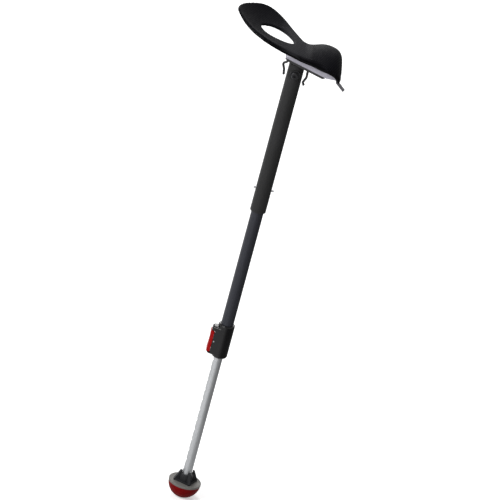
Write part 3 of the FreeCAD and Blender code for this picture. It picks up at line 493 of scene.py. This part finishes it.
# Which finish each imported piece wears
pieceFinish = {
    "upper_tube": "powder",
    "post_head": "blackNylon",
    "post_bush": "blackNylon",
    "pivot_bolt": "blackOxide",
    "pivot_nut": "blackOxide",
    "saddle_washers": "blackOxide",
    "seat_bracket": "blackEnamel",
    "tilt_bush": "naturalAcetal",
    "seat_pan": "paleGreyAbs",
    "seat_shell": "blackPolypropylene",
    "seat_pad": "skin",
    "front_hook": "blackOxide",
    "rear_hook": "blackOxide",
    "bracket_screws": "blackOxide",
    "shell_screws": "brightZinc",
    "pull_tab": "greyRubber",
    "middle_tube": "blueBlack",
    "middle_slider": "naturalAcetal",
    "snap_button_clip": "brightZinc",
    "latch_housing": "glossBlackAbs",
    "housing_bush": "naturalAcetal",
    "rocker_pin": "brightZinc",
    "latch_spring": "brightZinc",
    "housing_screws": "blackOxide",
    "latch_rocker": "redAbs",
    "latch_tooth": "brightZinc",
    "lower_tube": "silver",
    "lower_slider": "naturalAcetal",
    "foot_hub": "blackNylon",
    "foot_plate": "greyNylonPlate",
    "foot_dome": "redRubber",
    "tube_plug": "brightZinc",
    "foot_bolt": "brightZinc",
}
for name, thing in nodes.items():
    thing.data.materials.clear()
    thing.data.materials.append(finishes[pieceFinish[name]])
print("finishes on", len(pieceFinish), "pieces")


# Saddle pad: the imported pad's form, evenly meshed, softened, with the scoops beside its waist pressed in.
# Only points near the upper skin move, as a ray upwards from just inside the edge tells
saddlePad = {
    "pivot": (0.0, 0.0, 0.84311),
    "weld": 0.00002,
    "voxel": 0.0016,
    "softening": 6,
    "softness": 0.5,
    "thickness": 0.005,
    "scoopEdge": [
        (-0.026, 0.043), (-0.021, 0.0392), (-0.011, 0.0313), (0.001, 0.0292),
        (0.0136, 0.0334), (0.0238, 0.0398), (0.0322, 0.0462), (0.036, 0.050),
    ],
    "scoopReach": 0.007,
    "scoopDepth": 0.0034,
    "scoopTint": 1.6,
    "rayInside": 0.0008,
    "rayBelow": 0.0002,
    "rayLength": 0.008,
}


def between(points, at):  # straight between the given points
    for (x0, y0), (x1, y1) in zip(points, points[1:]):
        if x0 <= at <= x1:
            return y0 + (y1 - y0) * (at - x0) / (x1 - x0)
    return None


def buildSaddlePad(look):
    pad = bpy.data.objects.new("saddlePad", nodes["seat_pad"].data.copy())
    scene.collection.objects.link(pad)
    pickOnly(pad)
    bpy.ops.object.mode_set(mode="EDIT")
    bpy.ops.mesh.select_all(action="SELECT")
    bpy.ops.mesh.remove_doubles(threshold=look["weld"])
    bpy.ops.object.mode_set(mode="OBJECT")
    remesh = pad.modifiers.new("evenSkin", "REMESH")
    remesh.mode = "VOXEL"
    remesh.voxel_size = look["voxel"]
    bpy.ops.object.modifier_apply(modifier=remesh.name)
    soften = pad.modifiers.new("soften", "SMOOTH")
    soften.factor = look["softness"]
    soften.iterations = look["softening"]
    bpy.ops.object.modifier_apply(modifier=soften.name)
    finer = pad.modifiers.new("finer", "SUBSURF")
    finer.levels = 1
    finer.render_levels = 1
    bpy.ops.object.modifier_apply(modifier=finer.name)

    level = Matrix.Rotation(math.radians(saddlePitch), 3, "Y")
    flatten = level.inverted()
    pivot = Vector(look["pivot"])
    up = level @ Vector((0, 0, 1))
    moves = []
    for point in pad.data.vertices:
        spot = flatten @ (point.co - pivot)
        edge = between(look["scoopEdge"], spot.x)
        if edge is None or abs(spot.y) < edge:
            continue
        side = level @ Vector((0, math.copysign(1.0, spot.y), 0))
        start = point.co - side * look["rayInside"] - up * look["rayBelow"]
        hit, place = pad.ray_cast(start, up, distance=look["rayLength"])[:2]
        depth = (place - point.co).length if hit else 0.0
        share = max(0.0, 1 - depth / look["thickness"])
        drop = min(1.0, (abs(spot.y) - edge) / look["scoopReach"]) * look["scoopDepth"] * share
        moves.append((point.index, drop))
    # the mask that paints shade into the scoops, from how deep each point is pressed
    paintedScoopShade = pad.data.attributes.new("paintedScoopShade", "FLOAT", "POINT")
    for index, drop in moves:
        pad.data.vertices[index].co -= up * drop
        paintedScoopShade.data[index].value = min(1.0, look["scoopTint"] * drop / look["scoopDepth"])
    bpy.ops.object.shade_smooth()
    pad.data.materials.clear()
    pad.data.materials.append(finishes["skin"])
    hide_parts("seat_pad")
    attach(pad, "seat")
    print("saddle pad:", len(pad.data.polygons), "faces")


buildSaddlePad(saddlePad)
